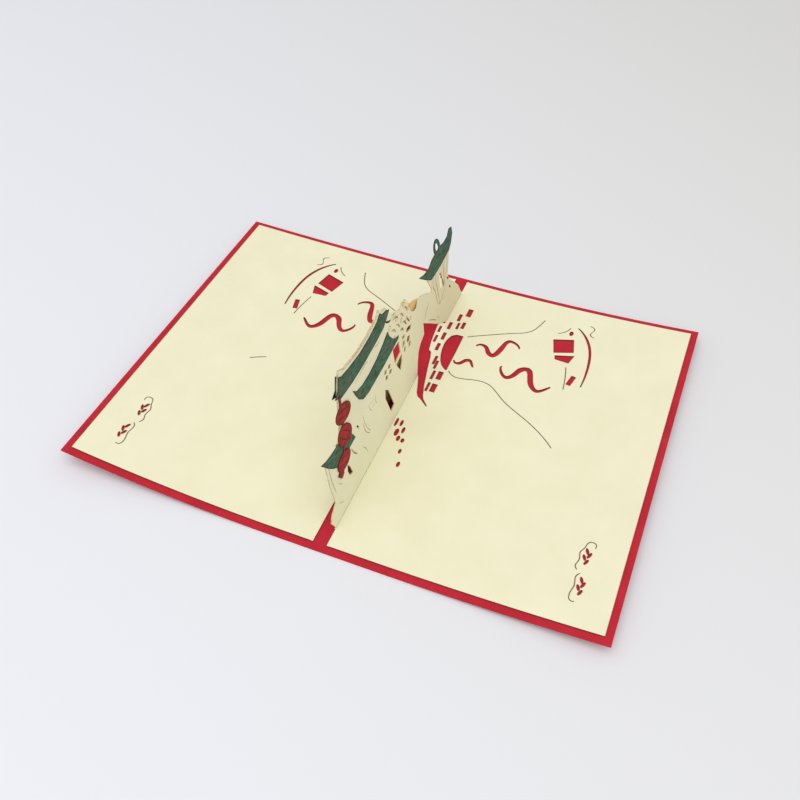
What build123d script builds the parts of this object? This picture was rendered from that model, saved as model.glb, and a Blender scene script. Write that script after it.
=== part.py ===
# Pop-up greeting card, laid open on a table.  Millimetres, +Z up.
# X runs across the opened card, Y along its fold (front is -Y), Z is up, the table is Z = 0.
import math
import os

from build123d import *

os.makedirs("parts", exist_ok=True)

# ---------------------------------------------------------------- driving dimensions
open_width = 200.0      # across both halves
card_depth = 148.0      # along the fold
cover_t = 0.35          # red card
leaf_t = 0.40           # cream card
trim_t = 0.20           # green and dark red glued pieces
front_margin = 2.8      # red border left showing round each cream leaf
back_margin = 2.1
side_margin = 2.6
half_gap = 2.57         # fold line of each pop-up wall, from the spine
flat_half = 14.0        # half width of the strip that lies flat on the table
rise_right = 4.2        # how far the right edge has lifted
rise_left_front = 7.1   # the left edge lifts more at the front
rise_left_back = 1.6    # and hardly at all at the back
wall_height = 63.6      # table to the highest tip of the walls
glued_band = 9.6        # over this much of their top both walls stand upright
meet_height = 38.0      # the left wall reaches the right one here and is glued to it above
hair = 0.20             # width of the finest cut lines
curl = 0.9              # width of the curls cut through the foliage
bays = 6                # stretches along the fold, each a ruled surface

half_width = open_width / 2
half_depth = card_depth / 2
leaf_top = cover_t + leaf_t
join_z = wall_height - glued_band
slab_top = wall_height + glued_band / 3
slab_t = 6.0            # slabs are cut this thick, then thinned to paper
cut_height = 2 * max(rise_right, rise_left_front)
lean = (half_gap - leaf_t) / (join_z - leaf_top)
meet_x = half_gap - lean * (meet_height - leaf_top) - 2 * leaf_t
left_lean = (half_gap + meet_x) / (meet_height - leaf_top)

# the outlines below are drawn for this card and stretch with it
drawn_width = 200.0
drawn_depth = 148.0
drawn_height = 63.6
spread = open_width / drawn_width
stretch = card_depth / drawn_depth
tall = (wall_height - cover_t) / (drawn_height - cover_t)


# ---------------------------------------------------------------- shared shapes
def arc_radius(rise):
    """Radius of the under side of a half that lifts by `rise` at its outer edge."""
    run = half_width - flat_half
    return (run * run + rise * rise) / (2 * rise)


def bow_points(side, radius, height):
    """Start, middle and end of the bowed line that begins at `height` over the table."""
    run = half_width - flat_half
    centre = radius + height
    out = []
    for share in (0.0, 0.5, 1.0):
        x = run * share
        out.append((side * (flat_half + x), centre - math.sqrt(radius * radius - x * x)))
    return out


def bowed_section(side, low, high, rise):
    """Edges of one half of a bowed sheet between two heights at the fold."""
    radius = arc_radius(rise)
    under = bow_points(side, radius - low, low)
    over = bow_points(side, radius - high, high)
    Line((0, low), under[0])
    ThreePointArc(*under)
    Line(under[-1], over[-1])
    ThreePointArc(*over)
    Line(over[0], (0, high))


def stations(front, back):
    """Places along the fold with the rise of the outer edge there."""
    for i in range(bays + 1):
        share = i / bays
        yield card_depth * share - half_depth, front + (back - front) * share


def wall_line(side):
    """Outer face of a wall from its foot up, as x at each height where it bends."""
    if side > 0:
        foot = half_gap + lean * leaf_t
        return [(foot, cover_t), (leaf_t, join_z), (leaf_t, slab_top)]
    foot = half_gap + left_lean * leaf_t
    return [(-foot, cover_t), (meet_x, meet_height), (-leaf_t, join_z), (-leaf_t, slab_top)]


def wall_layer(side, inner, outer):
    """Thins a slab to a leaning layer, `inner` to `outer` out from the outer face of the wall."""
    line = wall_line(side)
    with BuildSketch(Plane.XZ.offset(half_depth)) as layer:
        with BuildLine():
            Polyline(
                [(x + side * inner, z) for x, z in line]
                + [(x + side * outer, z) for x, z in line[::-1]],
                close=True,
            )
        make_face()
    extrude(layer.sketch, amount=-card_depth, mode=Mode.INTERSECT)


def shape(points):
    """A closed straight-sided shape."""
    with BuildLine() as loop:
        Polyline(*points, close=True)
    make_face(loop.edges())


def ribbon(points, width, tip=0.25):
    """A curved band, `width` at its middle and `tip` at both ends."""
    count = len(points)
    left, right = [], []
    for i, (x, y) in enumerate(points):
        xa, ya = points[max(i - 1, 0)]
        xb, yb = points[min(i + 1, count - 1)]
        run = math.hypot(xb - xa, yb - ya)
        half = (tip + (width - tip) * math.sin(math.pi * i / (count - 1))) / 2
        nx, ny = -(yb - ya) / run * half, (xb - xa) / run * half
        left.append((x + nx, y + ny))
        right.append((x - nx, y - ny))
    with BuildLine() as loop:
        if count > 2:
            Spline(*left)
            Spline(*right[::-1])
        else:
            Line(*left)
            Line(*right[::-1])
        Line(left[-1], right[-1])
        Line(right[0], left[0])
    make_face(loop.edges())


def by_spine(side, points):
    """Points of the panel close to the fold, which keep their distance from the spine."""
    return [(side * u, v * stretch) for u, v in points]


def on_panel(side, points):
    """Points of the panel away from the fold, which spread with the card."""
    return [(side * u * spread, v * stretch) for u, v in points]


def on_wall(points):
    """Points of the wall: distance along the fold and height."""
    return [(y * stretch, cover_t + (z - cover_t) * tall) for y, z in points]


def wall_slab(side):
    """Plane from which the wall's outlines are extruded through the wall."""
    return Plane.YZ.offset(-slab_t / 6 if side > 0 else -slab_t * 5 / 6)


# ---------------------------------------------------------------- outlines in the wall plane
# (distance along the fold, height)
front_outline = [
    (12.9, cover_t), (-63.3, cover_t), (-64.3, 3.0), (-65.8, 6.0), (-64.8, 9.0), (-61.2, 11.8),
    (-61.6, 15.0), (-63.0, 22.0), (-63.6, 29.0), (-64.6, 36.4), (-57.0, 35.0), (-52.6, 34.4),
    (-51.6, 40.0), (-51.0, 46.0), (-50.8, 52.0), (-50.2, 58.0), (-49.0, 63.6), (-45.5, 61.2),
    (-40.0, 59.8), (-34.0, 58.6), (-27.0, 58.6), (-20.0, 59.8), (-17.6, 61.4), (-15.0, 58.6),
    (-12.0, 57.6), (-10.6, 54.6), (-7.6, 51.6), (-5.6, 48.4), (-3.0, 48.6), (-0.4, 46.4),
    (2.0, 47.6), (5.2, 46.8), (7.0, 43.0), (8.8, 38.4), (11.4, 35.8), (14.4, 34.9),
    (16.0, 37.6), (19.4, 36.7), (25.0, 33.2), (29.6, 29.6), (30.0, 31.4), (28.2, 34.6),
    (26.8, 37.0),
]
tower_outline = [
    (24.5, 41.0), (28.0, 43.0), (32.0, 44.6), (38.5, 44.6), (44.0, 43.0), (49.6, 42.6),
    (49.0, 36.0), (48.4, 30.0), (47.4, 25.0), (48.8, 21.6), (51.6, 18.4), (56.2, 13.4),
    (60.0, 9.0), (62.2, 5.0), (64.6, cover_t), (46.6, cover_t),
]
arch_edge = [
    (46.6, cover_t), (40.0, 5.0), (34.0, 9.8), (28.2, 15.2), (20.6, 22.0), (21.2, 15.8),
    (17.0, 14.2), (15.0, 12.0), (14.0, 8.0), (12.9, cover_t),
]
left_outline = [
    (13.4, cover_t), (-48.5, cover_t), (-51.6, 10.0), (-53.4, 20.0), (-53.8, 30.0), (-52.6, 34.4),
] + front_outline[12:30] + [
    (2.0, 47.6), (5.2, 46.8), (7.0, 43.6), (10.2, 40.6), (13.6, 39.4), (16.8, 37.4),
    (18.6, 34.0), (18.0, 28.0), (16.4, 20.0), (14.9, 10.0),
]
lower_roof = [
    (-67.0, 38.6), (-63.4, 36.9), (-59.6, 35.9), (-54.0, 35.4), (-49.0, 34.0), (-46.0, 32.0),
    (-42.8, 26.0), (-47.0, 25.8), (-52.0, 26.0), (-57.4, 26.6), (-60.4, 29.6), (-63.4, 33.4),
]
middle_roof = [
    (-41.0, 46.6), (-38.4, 43.8), (-34.0, 42.4), (-28.0, 42.2), (-22.0, 43.0), (-16.0, 44.8),
    (-12.0, 46.7), (-10.9, 43.8), (-8.2, 40.0), (-5.6, 37.8), (-3.2, 37.0), (-3.4, 36.0),
    (-9.0, 35.4), (-20.0, 34.9), (-30.0, 35.0), (-34.4, 36.0), (-37.4, 39.0), (-39.4, 42.8),
]
upper_roof = [
    (-50.0, 61.8), (-47.6, 60.0), (-42.0, 58.5), (-34.0, 57.1), (-26.0, 57.2), (-20.0, 58.2),
    (-17.6, 60.0), (-15.4, 57.7), (-12.6, 57.0), (-9.7, 55.0), (-12.0, 53.0), (-15.0, 51.2),
    (-22.0, 50.5), (-32.0, 50.0), (-40.0, 50.3), (-49.4, 51.6), (-50.6, 53.0), (-53.2, 54.5),
    (-50.8, 56.2),
]
tower_roof = [
    (17.3, 46.6), (22.0, 44.5), (27.0, 43.3), (30.6, 45.0), (39.4, 45.0), (43.0, 43.9),
    (46.4, 44.0), (48.4, 46.4), (51.2, 45.2), (52.2, 41.6), (50.8, 38.0), (48.8, 36.0),
    (40.0, 35.5), (29.6, 36.1), (25.6, 39.2), (21.4, 42.8),
]
ring_centre, ring_radii, ring_hole, ring_turn = (35.5, 47.0), (5.0, 2.7), (3.0, 1.15), 118
ring_foot = tower_roof[3:5] + [(39.0, 41.0), (31.0, 41.0)]
lantern_cord = [
    (-51.2, 53.6), (-49.9, 53.6), (-49.5, 36.0), (-53.0, 21.0), (-54.4, 21.0), (-51.0, 36.0),
]
lantern_tassel = [(-55.8, 23.4), (-53.2, 22.4), (-53.6, 19.6), (-55.4, 18.6), (-57.6, 21.8)]
lanterns = [
    (-49.3, 44.9, 11.4, 7.8, -28), (-49.9, 35.0, 11.8, 8.2, -50), (-52.5, 24.9, 9.8, 8.0, -20),
]
right_windows = [
    [(-50.2, 19.6), (-48.4, 16.6), (-47.0, 11.9), (-49.2, 12.6), (-50.6, 16.4)],
    [(-16.8, 22.6), (-14.2, 20.0), (-9.9, 8.1), (-13.2, 7.3), (-17.2, 18.4)],
    [(-8.5, 34.6), (-2.9, 34.0), (-1.8, 27.6), (-7.2, 26.4)],
    [(-6.2, 25.0), (-0.8, 26.2), (-0.9, 21.8), (-2.6, 18.8)],
]
left_windows = [
    [(-6.6, 32.4), (0.2, 32.4), (4.6, 27.0), (4.4, 19.2), (-2.6, 19.0)],
]
window_panes = [(-15.6, 30.4), (-12.2, 30.1), (-14.8, 27.0), (-11.4, 26.8)]
pane_size, pane_turn = (2.2, 1.7), 30
lattice_turn = 20
lattice_panes = [
    (1.4, 32.2, 2.6, 1.5), (6.4, 31.9, 4.6, 2.0), (1.4, 28.9, 2.4, 2.6), (5.7, 27.3, 2.6, 2.6),
    (2.2, 25.4, 1.8, 2.2), (6.7, 24.0, 2.0, 2.0),
]
tower_slots = [
    [(38.0, 31.6), (40.4, 31.8), (42.0, 23.4), (39.6, 22.6)],
    [(44.4, 34.8), (46.3, 34.8), (46.2, 27.0), (44.9, 26.2)],
]
foliage = [
    [(-12.4, 51.8), (-10.4, 49.9), (-8.2, 49.0)], [(-7.2, 47.4), (-4.6, 47.0), (-2.4, 44.6)],
    [(-0.9, 45.2), (0.9, 43.7), (2.2, 41.4)], [(-8.8, 44.0), (-6.6, 42.7), (-5.0, 40.2)],
    [(-4.4, 43.2), (-2.5, 41.5), (-1.2, 39.0)], [(2.7, 45.2), (4.7, 43.6), (5.7, 41.0)],
    [(-1.6, 37.6), (0.4, 37.1), (1.8, 34.6)], [(1.2, 39.8), (3.1, 38.1), (4.6, 35.4)],
    [(4.8, 38.7), (6.2, 36.6), (7.6, 34.2)],
]
wall_curves = [
    [(-41.2, 29.6), (-40.2, 27.8), (-39.2, 25.8)],
    [(-35.6, 29.0), (-34.2, 22.4), (-31.0, 16.4)],
    [(-46.4, 23.8), (-45.0, 20.0), (-42.8, 17.0)],
    [(-57.6, 18.6), (-56.4, 16.6), (-55.0, 15.2)],
    [(-37.6, 14.6), (-36.0, 12.2), (-34.8, 9.0)],
    [(-30.6, 29.2), (-30.2, 27.0), (-28.8, 24.4)], [(-25.0, 28.8), (-25.2, 26.4), (-24.6, 24.0)],
    [(-29.4, 28.4), (-27.8, 28.0), (-26.0, 28.4)], [(-28.8, 25.6), (-27.4, 25.4), (-25.8, 25.8)],
    [(36.6, 18.2), (40.2, 16.6), (44.6, 15.8)],
    [(35.0, 12.6), (36.6, 11.2), (38.0, 9.8)],
    [(-59.0, 9.0), (-57.0, 7.4), (-55.4, 5.4)],
]

# ---------------------------------------------------------------- cut-outs in the leaf panels
# (distance from the spine, distance along the fold)
spine_cut = [
    (-1.0, -75.0), (half_gap, -75.0), (half_gap, -64.0), (half_gap - leaf_t, -64.0),
    (half_gap - leaf_t, 13.0), (2.8, 13.0), (4.0, 10.0), (5.6, 4.6), (6.6, 2.9), (8.0, 2.1),
    (11.4, -0.7), (11.5, -0.4), (9.0, 2.4), (8.2, 4.2), (6.8, 9.0), (5.8, 13.6), (4.8, 18.0),
    (3.7, 24.0), (3.0, 27.0), (1.75, 28.0), (0.9, 33.0), (0.5, 37.0), (0.05, 42.0),
    (0.05, 46.4), (half_gap - leaf_t, 46.5), (half_gap - leaf_t, 65.3), (half_gap, 65.3),
    (half_gap, 75.0), (-1.0, 75.0),
]
left_spine_cut = [
    (-1.0, -75.0), (half_gap, -75.0), (half_gap, -49.2), (half_gap - leaf_t, -49.2),
    (half_gap - leaf_t, 13.4), (3.6, 10.0), (6.6, 7.0), (9.4, 8.6), (11.4, 13.0), (12.2, 20.0),
    (12.0, 30.0), (11.4, 38.0), (9.0, 42.4), (4.0, 43.6), (0.05, 43.8), (0.05, 46.4),
    (1.4, 47.6), (half_gap, 50.0), (half_gap, 75.0), (-1.0, 75.0),
]
bricks = [
    (1.9, 46.0, 1.00, 3.1), (1.6, 40.6, 1.10, 3.7), (1.9, 34.9, 1.10, 4.1), (4.75, 44.0, 1.20, 4.1),
    (4.5, 37.4, 1.20, 4.1), (4.4, 30.8, 1.20, 4.1), (6.0, 23.4, 1.00, 4.7), (7.2, 21.2, 0.90, 4.5),
    (8.0, 15.6, 1.00, 4.7), (8.3, 9.0, 0.90, 4.7), (7.0, 49.9, 1.20, 4.1), (7.9, 45.0, 0.90, 3.7),
    (9.9, 46.0, 1.20, 3.7), (9.9, 54.0, 1.90, 4.5), (10.6, 16.2, 1.90, 4.3), (10.6, 9.2, 2.00, 4.3),
]
left_bricks = [brick for brick in bricks if brick[1] > 44.5]
petals = [
    (3.9, -12.0, 1.0, 4.0), (5.9, -11.8, 1.0, 3.0), (7.75, -14.8, 1.0, 3.0),
    (5.75, -16.6, 1.5, 3.5), (7.4, -19.1, 1.2, 2.5), (9.25, -19.5, 1.2, 2.0),
    (10.25, -24.5, 1.0, 2.2), (11.9, -30.3, 1.1, 2.4),
]
gate_shade = [
    (12.0, 19.8), (12.1, 31.8), (12.0, 40.1), (9.2, 40.0), (7.5, 38.7), (6.5, 35.8),
    (6.3, 33.2), (6.5, 30.2), (7.1, 27.0), (8.0, 24.2), (9.2, 22.0), (10.6, 20.6),
]
big_wave = [
    (31.5, 29.9), (32.6, 26.4), (34.9, 24.7), (37.6, 27.4), (39.4, 30.8), (41.6, 31.6),
    (43.8, 28.0), (45.6, 23.6), (48.0, 21.8), (50.4, 23.2), (52.5, 25.5),
]
near_wave = [
    (18.6, 37.0), (20.4, 38.4), (22.4, 37.8), (24.2, 35.2), (26.2, 34.2), (27.8, 36.6),
    (28.8, 40.8), (30.4, 44.2), (32.6, 44.0), (35.25, 41.5),
]
low_wave = [
    (12.9, 26.2), (14.2, 25.0), (15.8, 25.6), (17.4, 27.8), (18.8, 28.2), (20.0, 27.0),
    (21.2, 25.3),
]
boat_hull = [
    (54.3, 61.1), (57.2, 58.4), (59.3, 55.5), (62.0, 49.3), (63.3, 41.8), (63.6, 35.5),
    (63.3, 29.5),
]
boat_sail = [(46.5, 51.5), (54.3, 53.9), (56.0, 46.8), (48.6, 44.3)]
boat_cabin = [(49.4, 42.9), (56.8, 45.0), (55.6, 40.4), (50.0, 40.9)]
boat_lamp, lamp_radii = (52.4, 57.1), (0.75, 1.25)
boat_oar, oar_size, oar_turn = (59.0, 31.5), (1.8, 5.2), 12
boat_lines = [
    [(55.3, 38.0), (56.6, 32.0), (57.4, 26.1)],
    [(47.4, 55.6), (50.2, 57.8), (51.4, 60.2)],
    [(58.6, 63.8), (60.6, 61.6), (59.8, 59.8), (61.6, 57.6)],
]
far_hill = [(40.3, 61.1), (38.8, 56.6), (36.8, 53.0), (30.5, 49.3), (20.5, 44.3), (13.6, 40.5)]
long_hill = [
    (13.0, 19.9), (16.1, 17.8), (23.0, 18.8), (29.3, 18.9), (36.8, 13.4), (48.0, 6.6),
    (61.1, -3.5),
]
hill_end = [(56.4, -0.8), (59.2, -2.2), (62.0, -3.9)]
sprig_leaves = [
    (84.6, -42.6, 0.95, 2.6, 24), (85.6, -44.0, 0.95, 2.6, -24), (84.2, -45.2, 0.95, 2.4, 24),
    (85.2, -46.8, 0.95, 2.4, -24), (85.6, -54.0, 0.95, 2.6, 24), (86.4, -55.6, 0.95, 2.6, -24),
    (85.2, -57.0, 0.95, 2.4, 24), (86.2, -58.6, 0.95, 2.4, -24),
]
cloud_lines = [
    [(86.8, -40.6), (86.0, -38.6), (84.4, -38.8), (83.4, -41.4), (82.4, -43.6), (82.8, -46.4),
     (82.2, -48.6), (83.0, -50.4)],
    [(84.4, -51.6), (83.4, -53.4), (83.8, -56.4), (83.2, -59.4), (83.8, -62.2), (85.2, -62.4)],
]


def leaf(side, outline, windows, spine_edge, panel_bricks, rise_front, rise_back, hills):
    """One cream leaf: a wall folded up from the panel that is glued to the cover."""
    # the wall, cut as a slab and thinned to one leaning layer of card
    with BuildSketch(wall_slab(side)) as sheet:
        shape(on_wall(outline))
    extrude(sheet.sketch, amount=slab_t)
    with BuildSketch(wall_slab(side)) as openings:
        for window in windows:
            shape(on_wall(window))
        with Locations(*on_wall(window_panes)):
            Rectangle(*pane_size, rotation=-pane_turn)
        if side > 0:
            for y, z, wide, high in lattice_panes:
                with Locations(*on_wall([(y, z)])):
                    Rectangle(wide, high, rotation=-lattice_turn)
            for curve in foliage:
                ribbon(on_wall(curve), curl, hair)
            for curve in wall_curves:
                ribbon(on_wall(curve), hair, hair)
    extrude(openings.sketch, amount=slab_t, mode=Mode.SUBTRACT)
    wall_layer(side, -leaf_t, 0.0)

    # the panel, bowed like the cover below it
    ends = []
    for y, rise in stations(rise_front, rise_back):
        with BuildSketch(Plane.XZ.offset(-y)) as end:
            with BuildLine():
                bowed_section(side, cover_t, leaf_top, rise)
                Line((0, leaf_top), (0, cover_t))
            make_face()
        ends.append(end.sketch)
    for front, back in zip(ends, ends[1:]):
        loft([front, back], ruled=True)

    # border and spine edges of the panel
    with BuildSketch() as border:
        for end, edge in ((-1, front_margin), (1, back_margin)):
            with Locations((side * half_width / 2, end * half_depth)):
                Rectangle(half_width + 2 * side_margin, 2 * edge)
        with Locations((side * half_width, 0)):
            Rectangle(2 * side_margin, card_depth)
    extrude(border.sketch, amount=cut_height, mode=Mode.SUBTRACT)
    with BuildSketch(Plane.XY.offset(cover_t / 2)) as near_cuts:
        shape(by_spine(side, spine_edge))
        for u, v, wide, long in panel_bricks:
            with Locations(*by_spine(side, [(u, v)])):
                Rectangle(wide, long)
        for u, v, wide, long in petals:
            with Locations(*by_spine(side, [(u, v)])):
                Ellipse(wide / 2, long / 2)
        if side > 0:
            shape(by_spine(side, gate_shade))
    extrude(near_cuts.sketch, amount=leaf_top, mode=Mode.SUBTRACT)

    # waves, boat, hills and corner sprigs, cut right through the panel
    with BuildSketch() as far_cuts:
        ribbon(on_panel(side, big_wave), 2.2, 0.5)
        ribbon(on_panel(side, near_wave), 2.0, 0.5)
        ribbon(on_panel(side, low_wave), 1.5, 0.4)
        ribbon(on_panel(side, boat_hull), 0.9, 0.3)
        shape(on_panel(side, boat_sail))
        shape(on_panel(side, boat_cabin))
        with Locations(*on_panel(side, [boat_lamp])):
            Ellipse(*lamp_radii)
        with Locations(*on_panel(side, [boat_oar])):
            Rectangle(*oar_size, rotation=-oar_turn * side)
        for line in boat_lines + hills + cloud_lines:
            ribbon(on_panel(side, line), hair, hair)
        for u, v, wide, long, turn in sprig_leaves:
            with Locations(*on_panel(side, [(u, v)])):
                Ellipse(wide / 2, long / 2, rotation=turn * side)
    extrude(far_cuts.sketch, amount=cut_height, mode=Mode.SUBTRACT)


def roof(side, outline):
    """A cut paper piece glued flat to the outer face of a wall."""
    with BuildSketch(wall_slab(side)) as paper:
        shape(on_wall(outline))
    extrude(paper.sketch, amount=slab_t)
    wall_layer(side, 0.0, trim_t)


def tower_top(side):
    """The tower roof with the oval ring that stands on its ridge."""
    with BuildSketch(wall_slab(side)) as paper:
        shape(on_wall(tower_roof))
        with Locations(*on_wall([ring_centre])):
            Ellipse(*ring_radii, rotation=ring_turn)
            Ellipse(*ring_hole, rotation=ring_turn, mode=Mode.SUBTRACT)
        shape(on_wall(ring_foot))
    extrude(paper.sketch, amount=slab_t)
    wall_layer(side, 0.0, trim_t)


def lantern_string(side):
    """Three paper lanterns on one cord, glued over the roofs that they cross."""
    with BuildSketch(wall_slab(side)) as paper:
        shape(on_wall(lantern_cord))
        shape(on_wall(lantern_tassel))
        for y, z, wide, high, turn in lanterns:
            with Locations(*on_wall([(y, z)])):
                Ellipse(wide / 2, high / 2, rotation=turn)
    extrude(paper.sketch, amount=slab_t)
    wall_layer(side, trim_t, 2 * trim_t)


# ---------------------------------------------------------------- red cover, one folded card
with BuildPart() as red_cover:
    sections = []
    for (y, left), (_, right) in zip(
        stations(rise_left_front, rise_left_back), stations(rise_right, rise_right)
    ):
        with BuildSketch(Plane.XZ.offset(-y), mode=Mode.PRIVATE) as section:
            with BuildLine():
                bowed_section(1, 0.0, cover_t, right)
                bowed_section(-1, 0.0, cover_t, left)
            make_face()
        sections.append(section.sketch)
    for front, back in zip(sections, sections[1:]):
        loft([front, back], ruled=True)
red_cover.part.label = "red_cover"

# ---------------------------------------------------------------- right leaf with its wall
with BuildPart() as right_leaf:
    leaf(
        1, front_outline + tower_outline + arch_edge[1:-1], right_windows + tower_slots,
        spine_cut, bricks, rise_right, rise_right, [far_hill, long_hill],
    )
right_leaf.part.label = "right_leaf"

# ---------------------------------------------------------------- left leaf with its wall
with BuildPart() as left_leaf:
    leaf(
        -1, left_outline, left_windows, left_spine_cut, left_bricks,
        rise_left_front, rise_left_back, [far_hill, hill_end],
    )
left_leaf.part.label = "left_leaf"

# ---------------------------------------------------------------- green roofs, right wall
with BuildPart() as right_lower_roof:
    roof(1, lower_roof)
right_lower_roof.part.label = "right_lower_roof"

with BuildPart() as right_middle_roof:
    roof(1, middle_roof)
right_middle_roof.part.label = "right_middle_roof"

with BuildPart() as right_upper_roof:
    roof(1, upper_roof)
right_upper_roof.part.label = "right_upper_roof"

with BuildPart() as right_tower_roof:
    tower_top(1)
right_tower_roof.part.label = "right_tower_roof"

# ---------------------------------------------------------------- green roofs, left wall
with BuildPart() as left_middle_roof:
    roof(-1, middle_roof)
left_middle_roof.part.label = "left_middle_roof"

with BuildPart() as left_upper_roof:
    roof(-1, upper_roof)
left_upper_roof.part.label = "left_upper_roof"

# ---------------------------------------------------------------- lantern strings
with BuildPart() as right_lanterns:
    lantern_string(1)
right_lanterns.part.label = "right_lanterns"

# ---------------------------------------------------------------- files
export_step(red_cover.part, "parts/red_cover.step")
export_step(right_leaf.part, "parts/right_leaf.step")
export_step(left_leaf.part, "parts/left_leaf.step")
export_step(right_lower_roof.part, "parts/right_lower_roof.step")
export_step(right_middle_roof.part, "parts/right_middle_roof.step")
export_step(right_upper_roof.part, "parts/right_upper_roof.step")
export_step(right_tower_roof.part, "parts/right_tower_roof.step")
export_step(left_middle_roof.part, "parts/left_middle_roof.step")
export_step(left_upper_roof.part, "parts/left_upper_roof.step")
export_step(right_lanterns.part, "parts/right_lanterns.step")
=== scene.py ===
import math

import bmesh
import bpy
from mathutils import Matrix, Vector


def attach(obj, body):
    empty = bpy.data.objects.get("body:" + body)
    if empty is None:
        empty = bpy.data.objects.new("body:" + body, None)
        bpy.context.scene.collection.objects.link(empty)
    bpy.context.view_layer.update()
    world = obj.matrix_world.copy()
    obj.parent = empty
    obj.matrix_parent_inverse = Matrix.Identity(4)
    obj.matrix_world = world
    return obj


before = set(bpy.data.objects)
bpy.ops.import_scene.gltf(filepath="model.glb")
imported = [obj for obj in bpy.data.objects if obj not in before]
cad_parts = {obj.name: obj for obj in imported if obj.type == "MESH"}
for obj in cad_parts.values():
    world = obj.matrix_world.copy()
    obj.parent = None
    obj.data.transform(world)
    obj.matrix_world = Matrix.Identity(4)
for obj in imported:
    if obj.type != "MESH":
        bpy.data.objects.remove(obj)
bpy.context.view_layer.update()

# ------------------------------------------------------------------ camera
# The view looks down on the opened card from its front right corner, about half way up the sky,
# with the tower at the far end of the fold.
AZIMUTH = 22.03
ELEVATION = 48.56
ROLL = -0.08
EYE = (0.09095, -0.22362, 0.27234)
LENS = 42.70
SENSOR = 36.0

az, el = math.radians(AZIMUTH), math.radians(ELEVATION)
backward = Vector((math.sin(az) * math.cos(el), -math.cos(az) * math.cos(el), math.sin(el)))
camera_data = bpy.data.cameras.new("view_camera")
camera_data.sensor_width = SENSOR
camera_data.lens = LENS
camera_data.clip_start = 0.01
camera = bpy.data.objects.new("view_camera", camera_data)
aim = (-backward).to_track_quat("-Z", "Y").to_matrix().to_4x4()
camera.matrix_world = Matrix.Translation(EYE) @ aim @ Matrix.Rotation(math.radians(ROLL), 4, "Z")
bpy.context.scene.collection.objects.link(camera)
bpy.context.scene.camera = camera

# ------------------------------------------------------------------ table and light
# A plain pale table top in a white room, with one very wide lamp over the viewer's shoulder that
# leaves almost no shadow.  The table's colour is painted a touch brighter at the near left than at
# the far right: painted light and shade across the top.
bpy.context.scene.view_settings.view_transform = "Standard"


def tint(red, green, blue):
    """A colour given in screen values, 0 to 255, as the linear colour that shaders take."""
    out = []
    for value in (red, green, blue):
        v = value / 255
        out.append(v / 12.92 if v <= 0.04045 else ((v + 0.055) / 1.055) ** 2.4)
    return (*out, 1.0)


def new_material(name):
    """A material with nodes, its nodes and its links."""
    mat = bpy.data.materials.new(name)
    mat.use_nodes = True
    return mat, mat.node_tree.nodes, mat.node_tree.links


TABLE_SIZE = 3.0
TABLE_DROP = 0.00005    # keeps the table top from sharing the cover's under side
# Painted light and shade: the table top is coloured brighter at the near left, darker at the far
# right.
TABLE_NEAR_LIT, TABLE_FAR_SHADED = tint(236, 237, 244), tint(220, 219, 216)
FADE_ALONG = (0.78, 0.62, 0.0)
FADE_START, FADE_END = -0.25, 0.30
TABLE_MATT, TABLE_SHEEN = 0.9, 0.1
table_mesh = bpy.data.meshes.new("table_top")
half = TABLE_SIZE / 2
corners = [(-half, -half, 0), (half, -half, 0), (half, half, 0), (-half, half, 0)]
table_mesh.from_pydata(corners, [], [(0, 1, 2, 3)])
table = bpy.data.objects.new("table_top", table_mesh)
table.location.z = -TABLE_DROP
bpy.context.scene.collection.objects.link(table)

table_mat, nodes, links = new_material("pale_table")
place = nodes.new("ShaderNodeTexCoord")
along = nodes.new("ShaderNodeVectorMath")
along.operation = "DOT_PRODUCT"
along.inputs[1].default_value = FADE_ALONG
links.new(place.outputs["Object"], along.inputs[0])
light_fade = nodes.new("ShaderNodeMapRange")
light_fade.inputs["From Min"].default_value = FADE_START
light_fade.inputs["From Max"].default_value = FADE_END
links.new(along.outputs["Value"], light_fade.inputs["Value"])
blend = nodes.new("ShaderNodeMix")
blend.data_type = "RGBA"
blend.inputs["A"].default_value = TABLE_NEAR_LIT
blend.inputs["B"].default_value = TABLE_FAR_SHADED
links.new(light_fade.outputs["Result"], blend.inputs["Factor"])
top = nodes["Principled BSDF"]
links.new(blend.outputs["Result"], top.inputs["Base Color"])
top.inputs["Roughness"].default_value = TABLE_MATT
top.inputs["Specular IOR Level"].default_value = TABLE_SHEEN
table_mesh.materials.append(table_mat)

ROOM_COLOUR, ROOM_STRENGTH = (0.97, 0.98, 1.0, 1.0), 0.66
world = bpy.data.worlds.new("white_room")
bpy.context.scene.world = world
world.use_nodes = True
room = world.node_tree.nodes["Background"]
room.inputs["Color"].default_value = ROOM_COLOUR
room.inputs["Strength"].default_value = ROOM_STRENGTH

LAMP_SIZE, LAMP_WATTS = 1.8, 11.0
LAMP_COLOUR = (1.0, 0.99, 0.97)
LAMP_PLACE = (0.12, -0.50, 1.25)
lamp_data = bpy.data.lights.new("soft_lamp", "AREA")
lamp_data.shape = "DISK"
lamp_data.size = LAMP_SIZE
lamp_data.energy = LAMP_WATTS
lamp_data.color = LAMP_COLOUR
lamp = bpy.data.objects.new("soft_lamp", lamp_data)
lamp.location = LAMP_PLACE
lamp.rotation_euler = (-lamp.location).to_track_quat("-Z", "Y").to_euler()
bpy.context.scene.collection.objects.link(lamp)

# ------------------------------------------------------------------ red cover
# One sheet of red card, 0.35 mm thick, cut to 200 by 148 mm and folded once down the middle.
# It shows as a narrow border and through every cut-out of the two leaves glued inside it.
FIBRES = 2600           # fibres to the metre in the tooth of the paper
FIBRE_DEPTH, TOOTH = 0.35, 0.00003
MATT, SHEEN = 0.82, 0.22
EDGE_FROM, EDGE_TO = 0.99, 0.86     # cosines between which a scorched rim fades in


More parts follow.
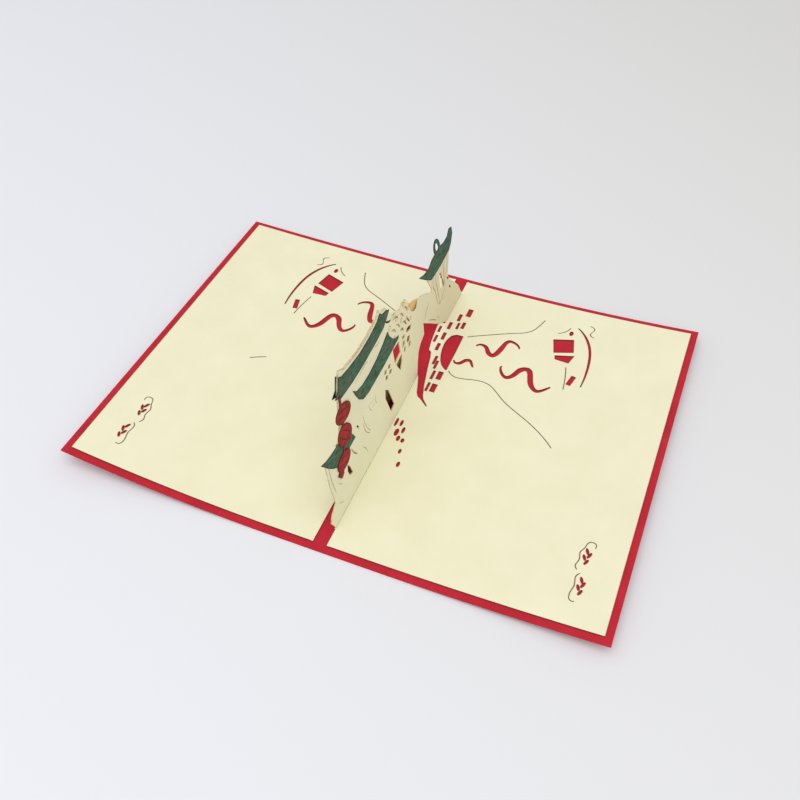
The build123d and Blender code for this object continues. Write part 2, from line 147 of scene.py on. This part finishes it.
def card_noise(nodes, links, scale, detail=4.0, rough=0.6, seed=0.0):
    """Noise measured on the object itself, `scale` features to the metre."""
    where = nodes.new("ShaderNodeTexCoord")
    noise = nodes.new("ShaderNodeTexNoise")
    noise.noise_dimensions = "4D"
    noise.inputs["W"].default_value = seed
    noise.inputs["Scale"].default_value = scale
    noise.inputs["Detail"].default_value = detail
    noise.inputs["Roughness"].default_value = rough
    links.new(where.outputs["Object"], noise.inputs["Vector"])
    return noise.outputs["Fac"]


def mixed(nodes, links, factor, first, second):
    """Colour between two colours or sockets, by a socket."""
    mix = nodes.new("ShaderNodeMix")
    mix.data_type = "RGBA"
    links.new(factor, mix.inputs["Factor"])
    for name, value in (("A", first), ("B", second)):
        if isinstance(value, tuple):
            mix.inputs[name].default_value = value
        else:
            links.new(value, mix.inputs[name])
    return mix.outputs["Result"]


def ramp(nodes, links, source, low, high):
    """0 under `low`, 1 over `high`, straight between."""
    span = nodes.new("ShaderNodeMapRange")
    span.inputs["From Min"].default_value = low
    span.inputs["From Max"].default_value = high
    links.new(source, span.inputs["Value"])
    return span.outputs["Result"]


def paper_surface(nodes, links, colour):
    """Matt paper: a soft sheen at low angles and the tooth of its fibres as bump."""
    shader = nodes["Principled BSDF"]
    shader.inputs["Roughness"].default_value = MATT
    shader.inputs["Specular IOR Level"].default_value = SHEEN
    links.new(colour, shader.inputs["Base Color"])
    bump = nodes.new("ShaderNodeBump")
    bump.inputs["Strength"].default_value = FIBRE_DEPTH
    bump.inputs["Distance"].default_value = TOOTH
    links.new(card_noise(nodes, links, FIBRES, 5.0, 0.65, 3.0), bump.inputs["Height"])
    links.new(bump.outputs["Normal"], shader.inputs["Normal"])


def cut_edge_rim(nodes, links, reach):
    """1 along the cut edges of a sheet, fading to 0 over `reach` metres of its face."""
    rounded = nodes.new("ShaderNodeBevel")
    rounded.samples = 8
    rounded.inputs["Radius"].default_value = reach
    face = nodes.new("ShaderNodeNewGeometry")
    match = nodes.new("ShaderNodeVectorMath")
    match.operation = "DOT_PRODUCT"
    links.new(rounded.outputs["Normal"], match.inputs[0])
    links.new(face.outputs["True Normal"], match.inputs[1])
    return ramp(nodes, links, match.outputs["Value"], EDGE_FROM, EDGE_TO)


def dress(node, mat):
    """Gives a CAD node's slots a finished material."""
    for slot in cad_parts[node].material_slots:
        slot.material = mat


RED_CARD = tint(197, 40, 54)
RED_CARD_DEEP = tint(181, 33, 46)
RED_CLOUDS = 90
red_mat, nodes, links = new_material("red_card")
cloudy = ramp(nodes, links, card_noise(nodes, links, RED_CLOUDS, 5.0), 0.35, 0.65)
red = mixed(nodes, links, cloudy, RED_CARD_DEEP, RED_CARD)
paper_surface(nodes, links, red)
dress("red_cover", red_mat)

# ------------------------------------------------------------------ cream leaves
# Two sheets of cream card, one glued inside each half of the cover.  A laser cuts each sheet,
# which toasts every cut edge brown, and its wall is folded up from it.  The dark rims along the
# panel cuts are partly that toast and partly painted shade inside the cut-outs.
CREAM = tint(241, 237, 205)
CREAM_DEEP = tint(236, 231, 197)
PAINTED_BOUNCE_AMBER = tint(236, 190, 124)
TAN = tint(226, 212, 170)
TAN_DARK = tint(184, 156, 112)
TOAST_AND_SHADE = tint(110, 44, 30)
TOAST_AND_SHADE_DARK = tint(64, 18, 12)
WALL_REACH = 0.0034     # nearer the fold than this, and over the wall's foot, is wall
LEAF_RIM, RIM_DEPTH = 0.0005, 0.8
# Painted warm shade: the walls turn tan from the middle of the fold towards its back end.
PAINTED_SHADE_TAN, PAINTED_SHADE_SPAN, PAINTED_SHADE_DEPTH = tint(206, 178, 138), (0.0, 0.045), 0.32
WALL_FOOT = 0.0009
EDGE_ON = 0.7           # a face turned further than this from its sheet is a cut edge
MOTTLE, BURN = 60, 800  # features to the metre


def math_node(nodes, links, operation, first, second=None):
    """The result of a sum on one or two numbers or sockets."""
    node = nodes.new("ShaderNodeMath")
    node.operation = operation
    for i, value in enumerate((first, second)):
        if value is None:
            continue
        if isinstance(value, (int, float)):
            node.inputs[i].default_value = value
        else:
            links.new(value, node.inputs[i])
    return node.outputs["Value"]


def leaf_faces(nodes, links):
    """Masks of a leaf: cut edges of wall and panel, which way the wall faces, painted shade
    towards the back of the wall, panel.
    """
    where = nodes.new("ShaderNodeTexCoord")
    facing = nodes.new("ShaderNodeSeparateXYZ")
    links.new(where.outputs["Normal"], facing.inputs[0])
    spot = nodes.new("ShaderNodeSeparateXYZ")
    links.new(where.outputs["Object"], spot.inputs[0])
    off_fold = math_node(nodes, links, "ABSOLUTE", spot.outputs["X"])
    near = math_node(nodes, links, "LESS_THAN", off_fold, WALL_REACH)
    above = math_node(nodes, links, "GREATER_THAN", spot.outputs["Z"], WALL_FOOT)
    on_wall = math_node(nodes, links, "MULTIPLY", near, above)
    sideways = math_node(nodes, links, "ABSOLUTE", facing.outputs["X"])
    upward = math_node(nodes, links, "ABSOLUTE", facing.outputs["Z"])
    wall_edge = math_node(nodes, links, "LESS_THAN", sideways, EDGE_ON)
    panel_edge = math_node(nodes, links, "LESS_THAN", upward, EDGE_ON)
    rest = math_node(nodes, links, "SUBTRACT", 1.0, on_wall)
    towards_back = ramp(nodes, links, spot.outputs["Y"], *PAINTED_SHADE_SPAN)
    return {
        "wall_edge": math_node(nodes, links, "MULTIPLY", on_wall, wall_edge),
        "panel_edge": math_node(nodes, links, "MULTIPLY", rest, panel_edge),
        "facing": math_node(nodes, links, "MULTIPLY", on_wall, facing.outputs["X"]),
        "back_shade": math_node(nodes, links, "MULTIPLY", on_wall, towards_back),
        "panel": math_node(nodes, links, "GREATER_THAN", off_fold, WALL_REACH),
    }


def cream_card(name, bounce_depth):
    """Cream card for one leaf, with painted amber bounce light on the wall faces that look along
    +X.
    """
    mat, nodes, links = new_material(name)
    mottle = ramp(nodes, links, card_noise(nodes, links, MOTTLE, 5.0, 0.6, 1.0), 0.3, 0.7)
    cream = mixed(nodes, links, mottle, CREAM_DEEP, CREAM)
    burn = ramp(nodes, links, card_noise(nodes, links, BURN, 3.0, 0.6, 2.0), 0.35, 0.7)
    masks = leaf_faces(nodes, links)
    # Painted bounce light: wall faces looking along +X, into the gap between the two walls, turn
    # amber.
    painted_bounce = math_node(nodes, links, "GREATER_THAN", masks["facing"], EDGE_ON)
    painted_bounce = math_node(nodes, links, "MULTIPLY", painted_bounce, bounce_depth)
    # Painted warm shade towards the back of the wall.
    back_shade = math_node(nodes, links, "MULTIPLY", masks["back_shade"], PAINTED_SHADE_DEPTH)
    # Dark rims round the panel's cut-outs and on their cut faces: part laser toast, part painted
    # shade inside the cut-outs.
    rim = math_node(nodes, links, "MULTIPLY", cut_edge_rim(nodes, links, LEAF_RIM), RIM_DEPTH)
    rim = math_node(nodes, links, "MULTIPLY", rim, masks["panel"])
    toast_and_shade = mixed(nodes, links, burn, TOAST_AND_SHADE, TOAST_AND_SHADE_DARK)
    browned = mixed(nodes, links, burn, TAN, TAN_DARK)
    colour = mixed(nodes, links, back_shade, cream, PAINTED_SHADE_TAN)
    colour = mixed(nodes, links, painted_bounce, colour, PAINTED_BOUNCE_AMBER)
    colour = mixed(nodes, links, rim, colour, toast_and_shade)
    colour = mixed(nodes, links, masks["wall_edge"], colour, browned)
    colour = mixed(nodes, links, masks["panel_edge"], colour, toast_and_shade)
    paper_surface(nodes, links, colour)
    return mat


# Only the left leaf's inner wall face gets the painted amber bounce light.
dress("right_leaf", cream_card("cream_card_right", 0.0))
dress("left_leaf", cream_card("cream_card_left", 1.0))

# ------------------------------------------------------------------ green roofs
# Roofs of green paper glued flat on both walls.  The paper is rubbed with darker green and
# brown, and the laser leaves its outline nearly black.
GREEN = tint(78, 118, 96)
GREEN_DEEP = tint(58, 98, 78)
GREEN_DARK = tint(46, 70, 52)
GREEN_BROWN = tint(96, 86, 74)
GREEN_EDGE = tint(34, 34, 22)
GREEN_BACK = tint(42, 52, 40)
ROOF_RIM = 0.0006
STROKES, STROKE_PULL, STROKE_SLOPE = 1500, (1.0, 0.22, 1.0), 12
BLOTCHES, PATCHES, WEAR = 170, 120, 0.7


def green_paper(name, outward):
    """Rubbed green paper; `outward` is the way its good face looks along X."""
    mat, nodes, links = new_material(name)
    where = nodes.new("ShaderNodeTexCoord")
    drawn = nodes.new("ShaderNodeMapping")
    drawn.inputs["Scale"].default_value = STROKE_PULL
    drawn.inputs["Rotation"].default_value = (math.radians(STROKE_SLOPE), 0.0, 0.0)
    links.new(where.outputs["Object"], drawn.inputs["Vector"])
    strokes = nodes.new("ShaderNodeTexNoise")
    strokes.inputs["Scale"].default_value = STROKES
    strokes.inputs["Detail"].default_value = 4.0
    strokes.inputs["Roughness"].default_value = 0.65
    links.new(drawn.outputs["Vector"], strokes.inputs["Vector"])
    dark = ramp(nodes, links, strokes.outputs["Fac"], 0.46, 0.60)
    blotch = ramp(nodes, links, card_noise(nodes, links, BLOTCHES, 4.0, 0.6, 6.0), 0.50, 0.66)
    patch = ramp(nodes, links, card_noise(nodes, links, PATCHES, 3.0, 0.6, 4.0), 0.45, 0.7)
    green = mixed(nodes, links, patch, GREEN, GREEN_DEEP)
    green = mixed(nodes, links, dark, green, GREEN_DARK)
    worn = math_node(nodes, links, "MULTIPLY", blotch, WEAR)
    green = mixed(nodes, links, worn, green, GREEN_BROWN)
    rim = cut_edge_rim(nodes, links, ROOF_RIM)
    green = mixed(nodes, links, rim, green, GREEN_EDGE)
    facing = nodes.new("ShaderNodeSeparateXYZ")
    links.new(where.outputs["Normal"], facing.inputs[0])
    outside = math_node(nodes, links, "MULTIPLY", facing.outputs["X"], outward)
    glued = math_node(nodes, links, "LESS_THAN", outside, EDGE_ON)
    paper_surface(nodes, links, mixed(nodes, links, glued, green, GREEN_BACK))
    return mat


right_green = green_paper("green_paper_right", 1.0)
left_green = green_paper("green_paper_left", -1.0)
for roof in ("right_lower_roof", "right_middle_roof", "right_upper_roof", "right_tower_roof"):
    dress(roof, right_green)
for roof in ("left_middle_roof", "left_upper_roof"):
    dress(roof, left_green)

# ------------------------------------------------------------------ lanterns
# A string of three lanterns, cut as one piece of dark red paper with its cord.  It is glued over
# the lower and the upper roof of the right wall, and the laser leaves its outline nearly black.
LANTERN = tint(176, 48, 46)
LANTERN_DARK = tint(128, 30, 28)
LANTERN_EDGE = tint(58, 16, 12)
LANTERN_RIM = 0.0007
LANTERN_RUB = 380

lantern_mat, nodes, links = new_material("lantern_paper")
rubbed = ramp(nodes, links, card_noise(nodes, links, LANTERN_RUB, 5.0, 0.7, 8.0), 0.4, 0.62)
dark_red = mixed(nodes, links, rubbed, LANTERN, LANTERN_DARK)
where = nodes.new("ShaderNodeTexCoord")
facing = nodes.new("ShaderNodeSeparateXYZ")
links.new(where.outputs["Normal"], facing.inputs[0])
sideways = math_node(nodes, links, "ABSOLUTE", facing.outputs["X"])
rim = math_node(nodes, links, "LESS_THAN", sideways, EDGE_ON)
burnt = cut_edge_rim(nodes, links, LANTERN_RIM)
dark_red = mixed(nodes, links, burnt, dark_red, LANTERN_EDGE)
paper_surface(nodes, links, mixed(nodes, links, rim, dark_red, LANTERN_EDGE))
dress("right_lanterns", lantern_mat)

# ------------------------------------------------------------------ lantern ribs
# Two fine dark ribs down each lantern, pressed into the paper by the same die that cuts it.
# They lie on the string's outer face and follow the long axis of each lantern.
MM = 0.001
CARD_T, LEAF_T, TRIM_T = 0.35, 0.40, 0.20
HALF_GAP, JOIN_Z = 2.57, 54.0
LEAN = (HALF_GAP - LEAF_T) / (JOIN_Z - CARD_T - LEAF_T)
LANTERNS = (
    (-49.3, 44.9, 11.4, 7.8, -28), (-49.9, 35.0, 11.8, 8.2, -50), (-52.5, 24.9, 9.8, 8.0, -20),
)
LINE_T = 0.012          # height of a pressed line over the paper
TIP_SHARE = 0.45        # width of a line's ends, as a share of its middle
LINE_SPECKS, LINE_SPECK_DEPTH = 900, 0.7
RIB_BROWN = tint(84, 24, 20)
RIB_WIDTH = 0.32
RIB_REACH, RIB_BULGE = 0.84, 0.38   # shares of the lantern's half length and half width
RIB_STEPS = 12


def wall_x(z):
    """Outer face of the right wall at height z, all in millimetres."""
    return LEAF_T + max(JOIN_Z - z, 0.0) * LEAN


def smooth_line(points, steps=6):
    """A smooth run through a few chosen points."""
    ends = [points[0], *points, points[-1]]
    out = []
    for a, b, c, d in zip(ends, ends[1:], ends[2:], ends[3:]):
        for i in range(steps):
            t = i / steps
            out.append(tuple(
                0.5 * (2 * q + (r - p) * t + (2 * p - 5 * q + 4 * r - s) * t * t
                       + (3 * q - p - 3 * r + s) * t ** 3)
                for p, q, r, s in zip(a, b, c, d)
            ))
    return [*out, points[-1]]


def line_strips(name, lines, width, raise_by, mat):
    """Thin closed strips on the right wall's outer face, `raise_by` over the bare card."""
    mesh = bmesh.new()
    for line in lines:
        count = len(line)
        rings = []
        for i, (y, z) in enumerate(line):
            ya, za = line[max(i - 1, 0)]
            yb, zb = line[min(i + 1, count - 1)]
            run = math.hypot(yb - ya, zb - za)
            middle = math.sin(math.pi * i / (count - 1))
            half = width * (TIP_SHARE + (1 - TIP_SHARE) * middle) / 2
            ny, nz = -(zb - za) / run * half, (yb - ya) / run * half
            ring = []
            for side, over in ((1, 0.0), (1, LINE_T), (-1, LINE_T), (-1, 0.0)):
                py, pz = y + side * ny, z + side * nz
                ring.append(mesh.verts.new(
                    ((wall_x(pz) + raise_by + over) * MM, py * MM, pz * MM)))
            rings.append(ring)
        for first, second in zip(rings, rings[1:]):
            for i in range(4):
                j = (i + 1) % 4
                mesh.faces.new((first[i], first[j], second[j], second[i]))
        mesh.faces.new(rings[0][::-1])
        mesh.faces.new(rings[-1])
    bmesh.ops.recalc_face_normals(mesh, faces=mesh.faces)
    data = bpy.data.meshes.new(name)
    mesh.to_mesh(data)
    mesh.free()
    piece = bpy.data.objects.new(name, data)
    bpy.context.scene.collection.objects.link(piece)
    data.materials.append(mat)
    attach(piece, "root")


def line_colour(name, colour):
    """Flat matt colour for the drawn lines and dashes."""
    mat, nodes, links = new_material(name)
    shade = ramp(nodes, links, card_noise(nodes, links, LINE_SPECKS, 3.0, 0.6, 9.0), 0.3, 0.7)
    darker = tuple(c * LINE_SPECK_DEPTH for c in colour[:3]) + (1.0,)
    paper_surface(nodes, links, mixed(nodes, links, shade, colour, darker))
    return mat


ribs = []
for y, z, wide, high, turn in LANTERNS:
    c, s = math.cos(math.radians(turn)), math.sin(math.radians(turn))
    for bulge in (-RIB_BULGE, RIB_BULGE):
        rib = []
        for i in range(RIB_STEPS + 1):
            t = RIB_REACH * (2 * i / RIB_STEPS - 1)
            along, across = t * wide / 2, bulge * high / 2 * math.sqrt(1 - t * t)
            rib.append((y + along * c - across * s, z + along * s + across * c))
        ribs.append(rib)
line_strips(
    "lantern_ribs", ribs, RIB_WIDTH, 2 * TRIM_T, line_colour("rib_brown", RIB_BROWN))

# ------------------------------------------------------------------ lines on the wall
# Lines on the outer face of the right wall, made as strips of almost no height: tan curled
# leaves, the tower's posts, strokes along the roofs and the wall's front edge, and a few short
# dark red dashes of painted shade.
FINE, BOLD, ACCENT = 0.30, 0.42, 0.8
LINE_TAN, DASH_SHADE_RED = tint(178, 152, 106), tint(104, 34, 24)
CURL_STEPS, CURL_TURN, CURL_CLOSE = 18, 25, 0.72
# middle of each curl along the fold and in height, its size, and the angle it starts at
curl_spots = [
    (-10.2, 46.6, 1.5, 200), (-6.6, 49.6, 1.2, 120), (-4.0, 45.6, 1.2, 30), (-0.2, 41.6, 1.3, 250),
    (2.6, 46.6, 1.0, 300), (4.6, 38.6, 1.2, 160), (-6.2, 38.6, 1.0, 60), (6.8, 41.6, 1.0, 220),
    (-3.8, 36.6, 0.9, 20), (8.6, 35.4, 0.9, 90),
]
curls = []
for y, z, size, start in curl_spots:
    curl = []
    for i in range(CURL_STEPS + 1):
        angle = math.radians(start + CURL_TURN * i)
        reach = size * (1 - CURL_CLOSE * i / CURL_STEPS)
        curl.append((y + reach * math.cos(angle), z + reach * math.sin(angle)))
    curls.append(curl)
posts = [
    [(31.8, 35.6), (31.6, 31.0), (33.4, 27.6), (35.0, 22.6), (36.4, 18.4)],
    [(34.2, 35.4), (34.4, 31.4), (36.0, 26.6), (37.6, 20.0), (38.4, 16.4)],
    [(38.4, 16.4), (41.0, 18.4), (44.6, 21.2)],
    [(44.0, 35.2), (43.0, 30.6), (43.6, 25.4), (44.6, 21.2)],
    [(26.4, 27.2), (24.0, 25.2), (22.2, 22.6)],
    [(26.2, 18.6), (30.2, 15.4), (34.4, 11.6)],
]
marks = [
    [(-62.6, 33.0), (-61.6, 24.0), (-60.0, 16.4)],
    [(-47.6, 62.0), (-41.0, 60.0), (-33.0, 58.8), (-26.0, 58.9), (-20.4, 60.0)],
    [(-13.6, 52.6), (-11.4, 50.8), (-8.4, 49.2)],
    [(-39.0, 47.6), (-30.6, 48.8), (-28.4, 47.8)], [(-22.4, 49.2), (-20.2, 48.2), (-18.6, 49.0)],
    [(-46.0, 23.0), (-44.4, 19.6), (-42.4, 16.8)],
    [(-36.2, 26.0), (-34.8, 20.0), (-31.6, 15.6)],
]
# Short dark red dashes: painted shade where narrow slits in the wall would show the dark between
# the walls.
accents = [
    [(39.4, 30.3), (40.0, 29.2), (40.7, 28.1)], [(46.6, 23.9), (47.5, 22.8), (48.3, 21.9)],
    [(49.2, 17.6), (49.9, 16.4), (50.6, 15.4)], [(41.6, 27.0), (42.4, 24.4), (42.6, 22.2)],
    [(-40.6, 29.2), (-40.1, 28.2), (-39.6, 27.4)], [(-13.0, 52.2), (-11.2, 50.4), (-8.6, 49.2)],
]
tan_line_colour = line_colour("tan_line", LINE_TAN)
dash_shade_colour = line_colour("dash_shade_red", DASH_SHADE_RED)
line_strips("foliage_curls", curls, FINE, 0.0, tan_line_colour)
for name, lines, width, colour in (
    ("tower_posts", posts, BOLD, tan_line_colour),
    ("wall_marks", marks, FINE, tan_line_colour),
    ("dash_shade_marks", accents, ACCENT, dash_shade_colour),
):
    smooth = [smooth_line(line) for line in lines]
    line_strips(name, smooth, width, 0.0, colour)
